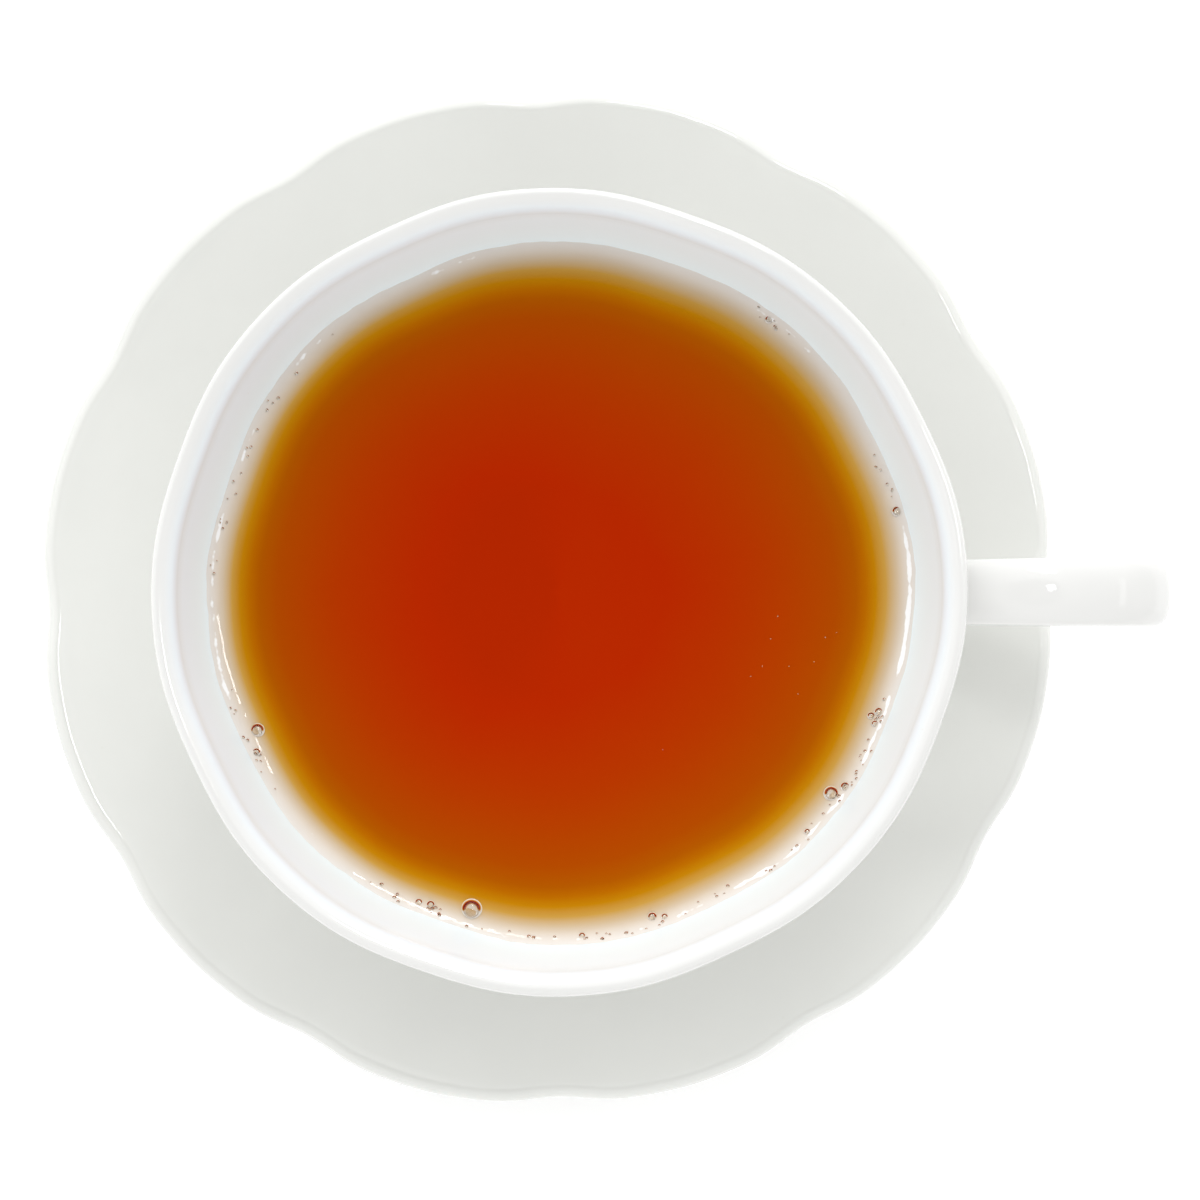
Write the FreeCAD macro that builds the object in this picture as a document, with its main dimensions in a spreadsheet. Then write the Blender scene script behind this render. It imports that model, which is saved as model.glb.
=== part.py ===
"""A cup of black tea: a fluted porcelain teacup with a strap handle, on its scalloped saucer.

Millimetres, +Z up. The origin is where the saucer's axis meets the surface it stands on, and the
handle points along +X. Every size is a cell of the sheet "Sizes".
"""
import FreeCAD, Part
import math
import os
import Sketcher

Vector = FreeCAD.Vector
TURN = 2 * math.pi

SIZES = [
    # saucer
    ("saucer_rim_radius", 73.0, "mean radius of the scalloped outline"),
    ("saucer_lobes", 12, "number of scallops"),
    ("saucer_lobe_depth", 1.05, "from crest to notch of a scallop"),
    ("saucer_lobe_crest", 0.34, "how much broader the crests are than the notches"),
    ("saucer_lobe_notch", 0.13, "how much sharper the notches are cut"),
    ("saucer_lobe_turn", 16.4, "turn of the scallops about the saucer's axis, in degrees"),
    ("saucer_plate", 3.2, "thickness of the saucer's wall"),
    ("saucer_edge_round", 1.45, "rounding of the saucer's rim"),
    ("saucer_well_radius", 31.0, "flat floor that the cup stands on"),
    ("saucer_dish_radius", 42.0, "curve between the floor and the flared rim"),
    ("saucer_slope", 21.5, "rise of the flared rim, in degrees"),
    ("saucer_foot_radius", 35.0, "outside of the saucer's foot ring"),
    ("saucer_foot_width", 3.0, "width of the saucer's foot ring"),
    ("saucer_foot_height", 2.8, "height of the saucer's foot ring"),
    # cup
    ("cup_offset", 3.0, "cup's axis from the saucer's axis, towards the handle"),
    ("cup_height", 56.0, "from the cup's foot to its rim"),
    ("cup_rim_radius", 50.0, "mean outside radius at the rim"),
    ("cup_base_radius", 23.6, "outside radius where the bowl meets its foot"),
    ("cup_base_slope", 36.0, "lean of the wall at its bottom, in degrees from upright"),
    ("cup_base_swell", 0.456, "how far up the bowl that lean is felt, as a share of its height"),
    ("cup_rim_slope", 17.7, "lean of the wall at the rim, in degrees from upright"),
    ("cup_rim_swell", 0.95, "how far down the bowl that lean is felt, as a share of its height"),
    ("cup_foot_radius", 23.0, "outside of the cup's foot ring"),
    ("cup_foot_width", 2.8, "width of the cup's foot ring"),
    ("cup_foot_height", 3.8, "height of the cup's foot ring"),
    ("cup_wall_rim", 2.35, "wall at the rim"),
    ("cup_wall_base", 3.2, "wall at the bottom"),
    ("cup_floor", 3.0, "thickness of the floor"),
    ("cup_floor_radius", 13.0, "flat of the inside floor"),
    ("cup_lobes", 8, "number of flutes"),
    ("cup_lobe_depth", 0.44, "from crest to notch of a flute"),
    ("cup_lobe_crest", 0.27, "how much broader the crests are than the notches"),
    ("cup_lobe_turn", 3.0, "turn of the flutes about the cup's axis, in degrees"),
    ("cup_rim_pull", 0.25, "how far firing draws the rim towards the handle"),
    # handle
    ("handle_reach", 77.4, "outermost point from the cup's axis"),
    ("handle_reach_below_rim", 10.5, "outermost point below the rim"),
    ("handle_crest_out", 14.0, "crest of the handle from the wall"),
    ("handle_crest_below_rim", 4.4, "crest of the handle below the rim"),
    ("handle_top_below_rim", 7.6, "upper root below the rim"),
    ("handle_low_height", 18.5, "height of the lower root"),
    ("handle_low_out", 16.5, "lowest bend of the handle from the wall"),
    ("handle_low_drop", 1.8, "fall of the lowest bend below the lower root"),
    ("handle_width", 8.7, "width of the strap at its outermost point"),
    ("handle_root_width", 8.0, "width of the strap at its roots"),
    ("handle_thickness", 4.3, "thickness of the strap"),
    ("handle_embed", 2.6, "how far the strap's ends go into the wall"),
    ("handle_fillet", 1.2, "rounding where the strap meets the wall"),
    # tea
    ("tea_below_rim", 10.0, "free height above the tea"),
]

SECTION_POINTS = 12        # points on each lobe of an outline
BOWL_SECTIONS = 10         # outlines from the bottom of the bowl to its rim
STRAP_SECTIONS = 16        # outlines along the handle
STRAP_POINTS = 32          # points on one outline of the handle
STRAP_SQUARENESS = 2.4     # 2 gives an ellipse, more gives a squarer strap
SEAM = math.radians(117)   # where an outline starts, clear of the handle and of the axes

doc = FreeCAD.newDocument("CupOfTea")
sheet = doc.addObject("Spreadsheet::Sheet", "Sizes")
for row, (name, value, note) in enumerate(SIZES, start=1):
    sheet.set(f"A{row}", name)
    sheet.set(f"B{row}", str(value))
    sheet.set(f"C{row}", note)
    sheet.setAlias(f"B{row}", name)
doc.recompute()


def size(name):
    """The value of a cell, for shapes that are worked out in code."""
    return float(getattr(sheet, name))


def bind(thing, prop, formula):
    """Tie a property to cells; each word in braces is a cell's name."""
    names = [name for name, _, _ in SIZES]
    thing.setExpression(prop, formula.format(**{name: f"Sizes.{name}" for name in names}))


def smoothstep(share):
    share = min(max(share, 0.0), 1.0)
    return share * share * (3 - 2 * share)


def new_body(label):
    body = doc.addObject("PartDesign::Body", label.capitalize())
    body.Label = label
    return body


def new_sketch(body, name, role):
    """A sketch on one of the body's own origin planes."""
    sketch = body.newObject("Sketcher::SketchObject", name)
    plane = [item for item in body.Origin.OriginFeatures if item.Role == role][0]
    sketch.AttachmentSupport = (plane, "")
    sketch.MapMode = "FlatFace"
    return sketch


def constrain(sketch, kind, *args, formula=None):
    """Add a constraint and, with a formula, tie its value to the sheet."""
    index = sketch.addConstraint(Sketcher.Constraint(kind, *args))
    if formula:
        bind(sketch, f"Constraints[{index}]", formula)
    return index


def revolve(body, sketch, name):
    """Turn a sketch once round its upright axis."""
    feature = body.newObject("PartDesign::Revolution", name)
    feature.Profile = sketch
    feature.ReferenceAxis = (sketch, ["V_Axis"])
    feature.Angle = 360
    sketch.Visibility = False
    return feature


def ring_sketch(body, name, outside, width, bottom, top):
    """A rectangle that becomes a ring; the last four arguments are formulas."""
    sketch = new_sketch(body, name, "XZ_Plane")
    corners = [Vector(20, 0, 0), Vector(23, 0, 0), Vector(23, 4, 0), Vector(20, 4, 0)]
    for start, end in zip(corners, corners[1:] + corners[:1]):
        sketch.addGeometry(Part.LineSegment(start, end), False)
    for line in range(4):
        constrain(sketch, "Coincident", line, 2, (line + 1) % 4, 1)
    constrain(sketch, "Horizontal", 0)
    constrain(sketch, "Horizontal", 2)
    constrain(sketch, "Vertical", 1)
    constrain(sketch, "Vertical", 3)
    constrain(sketch, "DistanceX", -1, 1, 0, 2, 23.0, formula=outside)
    constrain(sketch, "DistanceX", 0, 1, 0, 2, 3.0, formula=width)
    if bottom == "0":
        constrain(sketch, "PointOnObject", 0, 1, -1)
    else:
        constrain(sketch, "DistanceY", -1, 1, 0, 1, 1.0, formula=bottom)
    constrain(sketch, "DistanceY", 0, 1, 3, 1, 4.0, formula=top)
    return sketch


def lobed_wire(radius, height, lobes, depth, crest, turn=0.0, pull=0.0, notch=0.0):
    """A closed outline with broad crests and sharper notches, drawn towards +X by pull."""
    points = []
    count = int(lobes) * SECTION_POINTS
    for step in range(count):
        angle = SEAM + TURN * step / count
        phase = lobes * (angle - turn)
        wave = 0.5 * depth * (math.cos(phase) - crest * math.cos(2 * phase)
                              + notch * math.cos(3 * phase))
        drawn = pull * (math.cos(2 * angle) + 0.7 * math.cos(3 * angle))
        reach = radius + wave + drawn
        points.append(Vector(reach * math.cos(angle), reach * math.sin(angle), height))
    curve = Part.BSplineCurve()
    curve.interpolate(Points=points, PeriodicFlag=True)
    return Part.Wire(curve.toShape())


def outline(name, wire):
    """An outline kept in the document, for a loft or an extrusion to use."""
    feature = doc.addObject("Part::Feature", name)
    feature.Shape = wire
    feature.Visibility = False
    return feature


def loft(name, wires):
    feature = doc.addObject("Part::Loft", name)
    feature.Sections = [outline(f"{name}Outline{index}", wire) for index, wire in enumerate(wires)]
    feature.Solid = True
    feature.Ruled = False
    feature.Visibility = False
    return feature


def combine(kind, name, base, tool):
    feature = doc.addObject(kind, name)
    feature.Base = base
    feature.Tool = tool
    return feature


def fillet(name, base, chosen, radius):
    """Round the edges of base that the test picks."""
    doc.recompute()
    feature = doc.addObject("Part::Fillet", name)
    feature.Base = base
    picked = [number for number, edge in enumerate(base.Shape.Edges, start=1) if chosen(edge)]
    feature.Edges = [(number, radius, radius) for number in picked]
    return feature


# ---------------------------------------------------------------- saucer
def make_saucer():
    """A turned plate on a foot ring, trimmed to a scalloped outline with a rounded rim."""
    body = new_body("saucer blank")
    sketch = new_sketch(body, "SaucerSection", "XZ_Plane")
    low = size("saucer_foot_height")
    high = low + size("saucer_plate")
    well = size("saucer_well_radius")
    curve = size("saucer_dish_radius")
    slope = math.radians(size("saucer_slope"))
    edge = size("saucer_rim_radius") + 5
    centre = Vector(well, high + curve, 0)
    bend = centre + Vector(curve * math.sin(slope), -curve * math.cos(slope), 0)
    under = curve + size("saucer_plate")
    under_bend = centre + Vector(under * math.sin(slope), -under * math.cos(slope), 0)
    rim = Vector(edge, bend.y + (edge - bend.x) * math.tan(slope), 0)
    under_rim = Vector(edge, under_bend.y + (edge - under_bend.x) * math.tan(slope), 0)
    upward = Vector(0, 0, 1)
    quarter = -math.pi / 2
    sketch.addGeometry(Part.LineSegment(Vector(0, high, 0), Vector(well, high, 0)), False)
    sketch.addGeometry(Part.ArcOfCircle(Part.Circle(centre, upward, curve), quarter, quarter + slope), False)
    sketch.addGeometry(Part.LineSegment(bend, rim), False)
    sketch.addGeometry(Part.LineSegment(rim, under_rim), False)
    sketch.addGeometry(Part.LineSegment(under_rim, under_bend), False)
    sketch.addGeometry(Part.ArcOfCircle(Part.Circle(centre, upward, under), quarter, quarter + slope), False)
    sketch.addGeometry(Part.LineSegment(Vector(well, low, 0), Vector(0, low, 0)), False)
    sketch.addGeometry(Part.LineSegment(Vector(0, low, 0), Vector(0, high, 0)), False)
    constrain(sketch, "Tangent", 0, 2, 1, 1)
    constrain(sketch, "Tangent", 1, 2, 2, 1)
    constrain(sketch, "Coincident", 2, 2, 3, 1)
    constrain(sketch, "Coincident", 3, 2, 4, 1)
    constrain(sketch, "Tangent", 4, 2, 5, 2)
    constrain(sketch, "Tangent", 5, 1, 6, 1)
    constrain(sketch, "Coincident", 6, 2, 7, 1)
    constrain(sketch, "Coincident", 7, 2, 0, 1)
    constrain(sketch, "Coincident", 1, 3, 5, 3)
    constrain(sketch, "Horizontal", 0)
    constrain(sketch, "Vertical", 3)
    constrain(sketch, "Parallel", 2, 4)
    constrain(sketch, "PointOnObject", 7, 1, -2)
    constrain(sketch, "PointOnObject", 7, 2, -2)
    constrain(sketch, "DistanceY", -1, 1, 6, 2, low, formula="{saucer_foot_height}")
    constrain(sketch, "DistanceY", 6, 2, 0, 1, high - low, formula="{saucer_plate}")
    constrain(sketch, "DistanceX", 0, 1, 0, 2, well, formula="{saucer_well_radius}")
    constrain(sketch, "Radius", 1, curve, formula="{saucer_dish_radius}")
    constrain(sketch, "Angle", 2, slope, formula="{saucer_slope} * 1deg")
    constrain(sketch, "DistanceX", -1, 1, 2, 2, edge, formula="{saucer_rim_radius} + 5")
    revolve(body, sketch, "SaucerPlate")

    trim = doc.addObject("Part::Extrusion", "SaucerTrim")
    trim.Base = outline("SaucerOutline", lobed_wire(
        size("saucer_rim_radius"), 0, size("saucer_lobes"), size("saucer_lobe_depth"),
        size("saucer_lobe_crest"), math.radians(size("saucer_lobe_turn")),
        notch=size("saucer_lobe_notch")))
    trim.DirMode = "Custom"
    trim.Dir = Vector(0, 0, 1)
    trim.LengthFwd = 60
    trim.Solid = True
    trimmed = combine("Part::Common", "SaucerTrimmed", body, trim)
    doc.recompute()

    inner_limit = size("saucer_rim_radius") - size("saucer_lobe_depth") - 1
    plate = fillet("SaucerRounded", trimmed, lambda edge: edge.BoundBox.XMax > inner_limit
                   and edge.BoundBox.XMin < -inner_limit, size("saucer_edge_round"))
    foot = new_body("saucer foot")
    ring = ring_sketch(foot, "SaucerFootSection", "{saucer_foot_radius}", "{saucer_foot_width}",
                       "0", "{saucer_foot_height} + {saucer_plate} / 2")
    revolve(foot, ring, "SaucerFoot")
    saucer = combine("Part::Fuse", "Saucer", plate, foot)
    saucer.Label = "saucer"
    return saucer


# ---------------------------------------------------------------- cup
def saucer_floor():
    """Height of the saucer's flat floor, which the cup's foot stands on."""
    return size("saucer_foot_height") + size("saucer_plate")


def outside_profile():
    """The bowl's outside from its base to its rim, as a curve in the XZ plane."""
    base = Vector(size("cup_base_radius"), 0, size("cup_foot_height"))
    rim = Vector(size("cup_rim_radius"), 0, size("cup_height"))
    tall = rim.z - base.z
    base_lean = math.radians(size("cup_base_slope"))
    rim_lean = math.radians(size("cup_rim_slope"))
    upward = Vector(math.sin(base_lean), 0, math.cos(base_lean)) * (tall * size("cup_base_swell"))
    downward = Vector(math.sin(rim_lean), 0, math.cos(rim_lean)) * (tall * size("cup_rim_swell"))
    curve = Part.BezierCurve()
    curve.setPoles([base, base + upward, rim - downward, rim])
    return curve.toShape()


def along(edge, share):
    """Point and direction at a share of an edge's length."""
    place = edge.getParameterByLength(edge.Length * min(max(share, 1e-7), 1 - 1e-7))
    return edge.valueAt(place), edge.tangentAt(place)


def outside_stations():
    edge = outside_profile()
    return [along(edge, index / BOWL_SECTIONS)[0] for index in range(BOWL_SECTIONS + 1)]


def inside_profile():
    """The bowl's inside: the outside moved in by the wall, then curved down to the floor."""
    edge = outside_profile()
    floor = size("cup_foot_height") + size("cup_floor")
    points = [Vector(size("cup_floor_radius"), 0, floor)]
    for share in (0.22, 0.4, 0.6, 0.8, 1.0):
        point, heading = along(edge, share)
        wall = size("cup_wall_base") + (size("cup_wall_rim") - size("cup_wall_base")) * share
        points.append(point - Vector(heading.z, 0, -heading.x) * wall)
    last, heading = along(edge, 1.0)
    tip = points[-1]
    rise = size("cup_height") - tip.z
    points[-1] = tip + heading * (rise / heading.z)
    curve = Part.BSplineCurve()
    curve.interpolate(Points=points)
    return curve.toShape()


def bowl_wires(stations):
    """Outlines of the bowl at its stations; the flutes and the pull fade out towards the base."""
    base = size("cup_foot_height")
    tall = size("cup_height") - base
    wires = []
    for point in stations:
        share = (point.z - base) / tall
        wires.append(lobed_wire(point.x, point.z, size("cup_lobes"),
                                size("cup_lobe_depth") * smoothstep(share * 2.5),
                                size("cup_lobe_crest"), math.radians(size("cup_lobe_turn")),
                                size("cup_rim_pull") * share ** 2))
    return wires


def strap_route():
    """The handle's centre line in the XZ plane, from the upper root to the lower one."""
    half = size("handle_thickness") / 2
    edge = outside_profile()

    def wall_at(height):
        plane = Part.makePlane(400, 400, Vector(-200, -200, height))
        return edge.distToShape(plane)[1][0][0].x

    top_height = size("cup_height") - size("handle_top_below_rim")
    crest_height = size("cup_height") - size("handle_crest_below_rim")
    reach_height = size("cup_height") - size("handle_reach_below_rim")
    low_height = size("handle_low_height")
    top = wall_at(top_height)
    low = wall_at(low_height)
    sink = size("handle_embed")
    outer = size("handle_reach") - half
    points = [
        Vector(top - sink, 0, top_height - 0.5 * sink),
        Vector(top + 0.45 * size("handle_crest_out"), 0,
               0.38 * top_height + 0.62 * crest_height),
        Vector(top + size("handle_crest_out"), 0, crest_height),
        Vector(outer, 0, reach_height),
        Vector(low + size("handle_low_out") + 0.62 * (outer - low - size("handle_low_out")), 0,
               0.66 * low_height + 0.34 * reach_height),
        Vector(low + size("handle_low_out"), 0, low_height - size("handle_low_drop")),
        Vector(low - sink, 0, low_height),
    ]
    curve = Part.BSplineCurve()
    curve.interpolate(Points=points)
    return curve.toShape()


def strap_wires():
    """Rounded outlines along the handle, broadest at its outermost point."""
    route = strap_route()
    wires = []
    for index in range(STRAP_SECTIONS + 1):
        share = index / STRAP_SECTIONS
        centre, heading = along(route, share)
        across = Vector(0, 1, 0)
        outward = heading.cross(across)
        broad = math.sin(math.pi * share)
        half_width = (size("handle_root_width")
                      + (size("handle_width") - size("handle_root_width")) * broad) / 2
        half_thick = size("handle_thickness") / 2
        points = []
        for step in range(STRAP_POINTS):
            angle = TURN * step / STRAP_POINTS
            side = math.copysign(abs(math.cos(angle)) ** (2 / STRAP_SQUARENESS), math.cos(angle))
            lift = math.copysign(abs(math.sin(angle)) ** (2 / STRAP_SQUARENESS), math.sin(angle))
            points.append(centre + across * (half_width * side) + outward * (half_thick * lift))
        curve = Part.BSplineCurve()
        curve.interpolate(Points=points, PeriodicFlag=True)
        wires.append(Part.Wire(curve.toShape()))
    return wires


def is_strap_root(edge):
    """True for the closed seams where the strap leaves the bowl's outside."""
    box = edge.BoundBox
    broad = size("handle_root_width") * 1.5
    crosses = 1 < box.YLength < broad and abs(box.YMin + box.YMax) < 1
    return crosses and box.XMin > size("cup_base_radius") and box.ZMin > size("cup_foot_height") + 1


def make_cup(cavity):
    """The fluted bowl, hollowed by its cavity, with a foot ring and a strap handle."""
    outside = loft("BowlOutside", bowl_wires(outside_stations()))
    foot = new_body("cup foot")
    section = ring_sketch(foot, "CupFootSection", "{cup_foot_radius}", "{cup_foot_width}",
                          "0", "{cup_foot_height} + {cup_floor} / 3")
    revolve(foot, section, "CupFoot")
    footed = combine("Part::Fuse", "FootedBowl", outside, foot)
    strap = loft("Strap", strap_wires())
    handled = combine("Part::Fuse", "HandledBowl", footed, strap)
    hollow = combine("Part::Cut", "HollowCup", handled, cavity)
    doc.recompute()
    rim = size("cup_height") - 0.01
    lipped = fillet("LippedCup", hollow, lambda edge: edge.BoundBox.ZMin > rim,
                    size("cup_wall_rim") * 0.47)
    cup = fillet("Cup", lipped, is_strap_root, size("handle_fillet"))
    cup.Label = "cup"
    return cup


# ---------------------------------------------------------------- tea
def make_tea(cavity):
    """All of the cup's cavity up to the tea's level."""
    level = doc.addObject("Part::Cylinder", "TeaLevel")
    bind(level, "Radius", "{cup_rim_radius} * 2")
    bind(level, "Height", "{cup_height} - {tea_below_rim}")
    tea = combine("Part::Common", "Tea", cavity, level)
    tea.Label = "tea"
    return tea


saucer = make_saucer()
inside = inside_profile()
cavity = loft("Cavity", bowl_wires([along(inside, index / BOWL_SECTIONS)[0]
                                    for index in range(BOWL_SECTIONS + 1)]))
cup = make_cup(cavity)
tea = make_tea(cavity)
for piece in (cup, tea):
    bind(piece, "Placement.Base.x", "{cup_offset}")
    bind(piece, "Placement.Base.z", "{saucer_foot_height} + {saucer_plate}")
doc.recompute()

for thing in doc.Objects:
    if "Invalid" in thing.State or "Error" in thing.State:
        raise RuntimeError(f"{thing.Label} did not recompute")
for piece in (saucer, cup, tea):
    if piece.Shape.isNull() or not piece.Shape.isValid():
        raise RuntimeError(f"{piece.Label} has no valid shape")

os.makedirs("parts", exist_ok=True)
for piece in (saucer, cup, tea):
    piece.Shape.exportStep(f"parts/{piece.Label}.step")
    box = piece.Shape.BoundBox
    print(piece.Label, len(piece.Shape.Solids), round(piece.Shape.Volume), box)
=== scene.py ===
"""The looks of a cup of black tea: fluted porcelain cup, scalloped saucer, tea and its bubbles.

Metres, in the frame of the construction: +Z up, the handle along +X. Lengths given in
millimetres carry the factor MM.
"""
import math
import random

import bmesh
import bpy
from mathutils import Matrix, Vector, noise


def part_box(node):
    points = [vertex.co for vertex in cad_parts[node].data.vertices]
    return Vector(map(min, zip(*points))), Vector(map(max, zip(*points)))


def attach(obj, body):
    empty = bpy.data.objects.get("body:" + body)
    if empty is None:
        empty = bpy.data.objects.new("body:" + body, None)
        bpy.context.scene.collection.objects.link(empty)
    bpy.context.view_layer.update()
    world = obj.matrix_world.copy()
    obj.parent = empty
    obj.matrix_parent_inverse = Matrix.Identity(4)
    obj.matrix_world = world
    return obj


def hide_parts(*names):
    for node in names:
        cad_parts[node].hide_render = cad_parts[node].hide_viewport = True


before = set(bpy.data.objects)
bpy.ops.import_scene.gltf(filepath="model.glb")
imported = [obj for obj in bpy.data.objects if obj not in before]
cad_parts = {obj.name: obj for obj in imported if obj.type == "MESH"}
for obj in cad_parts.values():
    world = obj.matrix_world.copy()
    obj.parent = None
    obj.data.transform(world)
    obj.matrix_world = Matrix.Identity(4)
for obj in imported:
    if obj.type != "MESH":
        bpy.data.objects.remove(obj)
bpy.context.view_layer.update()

MM = 0.001
TURN = 2 * math.pi
random.seed(11)

CUP_LOW, CUP_HIGH = (Vector(corner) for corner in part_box("cup"))
TEA_HIGH = Vector(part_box("tea")[1])

# ---------------------------------------------------------------- sizes
# Upright measures of the cup count from its foot, and radii from its own axis.
CUP_AXIS_X = 3.0 * MM
CUP_STAND = CUP_LOW.z
CUP_HEIGHT = CUP_HIGH.z - CUP_LOW.z
CUP_RIM_RADIUS = 50.0 * MM
CUP_BASE_RADIUS = 23.6 * MM
CUP_BASE_LEAN = math.radians(36.0)
CUP_BASE_SWELL = 0.456
CUP_RIM_LEAN = math.radians(17.7)
CUP_RIM_SWELL = 0.95
CUP_FOOT_RADIUS = 23.0 * MM
CUP_FOOT_WIDTH = 2.8 * MM
CUP_FOOT_HEIGHT = 3.8 * MM
CUP_FLOOR = 3.0 * MM
CUP_FLOOR_RADIUS = 13.0 * MM
CUP_WALL_RIM = 2.35 * MM
CUP_WALL_BASE = 3.2 * MM
CUP_LOBES = 8
CUP_LOBE_DEPTH = 0.44 * MM
CUP_LOBE_CREST = 0.27
CUP_LOBE_TURN = math.radians(3.0)
CUP_RIM_PULL = 0.25 * MM
LIP_ROUND_OUT = 1.1 * MM      # rounding of the lip outside its crest
LIP_ROUND_DOWN = 1.3 * MM     # height of that rounding
LIP_ROUND_INSIDE = 2.6 * MM   # height of the rounding inside the crest
CUP_FOOT_EDGE = 0.7 * MM
CUP_COLUMNS = 360
INSIDE_PAINTED_LIGHT_FADE = 1.2 * MM   # depth below the crest at which the painted light inside the bowl is full

HANDLE_REACH = CUP_HIGH.x - CUP_AXIS_X - 0.55 * MM
HANDLE_REACH_HEIGHT = 45.5 * MM
HANDLE_CREST_OUT = 14.0 * MM
HANDLE_CREST_HEIGHT = 51.6 * MM
HANDLE_TOP_HEIGHT = 48.4 * MM
HANDLE_LOW_HEIGHT = 18.5 * MM
HANDLE_LOW_OUT = 16.5 * MM
HANDLE_LOW_DROP = 1.8 * MM
HANDLE_WIDTH = 8.7 * MM
HANDLE_ROOT_WIDTH = 8.0 * MM
HANDLE_THICKNESS = 4.3 * MM
HANDLE_SQUARENESS = 2.4
HANDLE_FILLET = 1.4 * MM
HANDLE_SINK = 2.6 * MM        # how far the strap's centre line starts inside the wall

SAUCER_RIM_RADIUS = 73.0 * MM
SAUCER_LOBES = 12
SAUCER_LOBE_DEPTH = 1.05 * MM
SAUCER_LOBE_CREST = 0.34
SAUCER_LOBE_NOTCH = 0.13
SAUCER_LOBE_TURN = math.radians(16.4)
SAUCER_PLATE = 3.2 * MM
SAUCER_WELL_RADIUS = 31.0 * MM
SAUCER_DISH_RADIUS = 42.0 * MM
SAUCER_SLOPE = math.radians(21.5)
SAUCER_FOOT_RADIUS = 35.0 * MM
SAUCER_FOOT_WIDTH = 3.0 * MM
SAUCER_FOOT_HEIGHT = CUP_STAND - SAUCER_PLATE
SAUCER_FOOT_EDGE = 0.8 * MM
SAUCER_WAVE_START = 40.0 * MM  # radius at which the scallops begin to show
SAUCER_COLUMNS = 480

TEA_LEVEL = TEA_HIGH.z
MENISCUS_RISE = 1.0 * MM
MENISCUS_REACH = 1.1 * MM
WALL_BITE = 0.35 * MM         # how far the tea reaches into the cup's wall
GLEAM_PLACE = 0.62 * MM       # pale line of painted highlight and froth along the edge, from the line of contact
GLEAM_WIDTH = 0.30 * MM

FLOOR_HALF = 1.5
FLOOR_GLOW = 0.2

# ---------------------------------------------------------------- camera
CAMERA_PLACE = Vector((10.7 * MM, -3.9 * MM, 301.5 * MM))
CAMERA_AIM = Vector((-20.0, 23.1, -1951.5))
CAMERA_LENS = 58.99


def add_camera():
    """Looks down on the cup, its top edge towards +Y, tilted a little off the upright."""
    data = bpy.data.cameras.new("camera")
    data.lens = CAMERA_LENS
    data.sensor_width = 36.0
    data.clip_start = 0.01
    camera = bpy.data.objects.new("camera", data)
    bpy.context.scene.collection.objects.link(camera)
    back = -CAMERA_AIM.normalized()
    right = Vector((0, 1, 0)).cross(back).normalized()
    up = back.cross(right)
    turn = Matrix((right, up, back)).transposed().to_4x4()
    camera.matrix_world = Matrix.Translation(CAMERA_PLACE) @ turn
    bpy.context.scene.camera = camera


# ---------------------------------------------------------------- mesh helpers
def smoothstep(share):
    share = min(max(share, 0.0), 1.0)
    return share * share * (3 - 2 * share)


def add_piece(name, points, faces, material, smooth=True):
    """A mesh object in the frame, shaded smooth."""
    mesh = bpy.data.meshes.new(name)
    mesh.from_pydata([tuple(point) for point in points], [], faces)
    mesh.materials.append(material)
    mesh.validate()
    mesh.polygons.foreach_set("use_smooth", [smooth] * len(mesh.polygons))
    mesh.update()
    piece = bpy.data.objects.new(name, mesh)
    bpy.context.scene.collection.objects.link(piece)
    return piece


def grid_faces(rows, columns, first=0, flip=False):
    """Quads between rows of points whose columns close on themselves."""
    faces = []
    for row in range(rows - 1):
        for column in range(columns):
            beside = (column + 1) % columns
            quad = (first + row * columns + column, first + row * columns + beside,
                    first + (row + 1) * columns + beside, first + (row + 1) * columns + column)
            faces.append(quad[::-1] if flip else quad)
    return faces


def fan_faces(middle, first, columns, flip=False):
    """Triangles between a point in the middle and a closed row of points."""
    faces = []
    for column in range(columns):
        pair = (first + column, first + (column + 1) % columns)
        faces.append((middle, pair[1], pair[0]) if flip else (middle, pair[0], pair[1]))
    return faces


def cubic_curve(knots, count):
    """Points spaced evenly in parameter along a natural cubic curve through the knots."""
    steps = [0.0]
    for first, second in zip(knots, knots[1:]):
        steps.append(steps[-1] + (second - first).length)
    last = len(knots) - 1
    bends = []
    for axis in range(2):
        lower = [0.0] * (last + 1)
        middle = [1.0] * (last + 1)
        upper = [0.0] * (last + 1)
        right = [0.0] * (last + 1)
        for index in range(1, last):
            before = steps[index] - steps[index - 1]
            after = steps[index + 1] - steps[index]
            lower[index] = before
            middle[index] = 2 * (before + after)
            upper[index] = after
            right[index] = 6 * ((knots[index + 1][axis] - knots[index][axis]) / after
                                - (knots[index][axis] - knots[index - 1][axis]) / before)
        for index in range(1, last + 1):
            factor = lower[index] / middle[index - 1]
            middle[index] -= factor * upper[index - 1]
            right[index] -= factor * right[index - 1]
        second = [0.0] * (last + 1)
        for index in range(last - 1, 0, -1):
            second[index] = (right[index] - upper[index] * second[index + 1]) / middle[index]
        bends.append(second)
    points = []
    for number in range(count):
        place = steps[-1] * number / (count - 1)
        index = max(i for i in range(last) if steps[i] <= place + 1e-12)
        span = steps[index + 1] - steps[index]
        ahead = (place - steps[index]) / span
        behind = 1 - ahead
        point = []
        for axis in range(2):
            value = behind * knots[index][axis] + ahead * knots[index + 1][axis]
            value += ((behind ** 3 - behind) * bends[axis][index]
                      + (ahead ** 3 - ahead) * bends[axis][index + 1]) * span * span / 6
            point.append(value)
        points.append(Vector(point))
    return points


def run_lengths(points):
    """Length of the line up to each of its points."""
    lengths = [0.0]
    for first, second in zip(points, points[1:]):
        lengths.append(lengths[-1] + (second - first).length)
    return lengths


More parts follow.
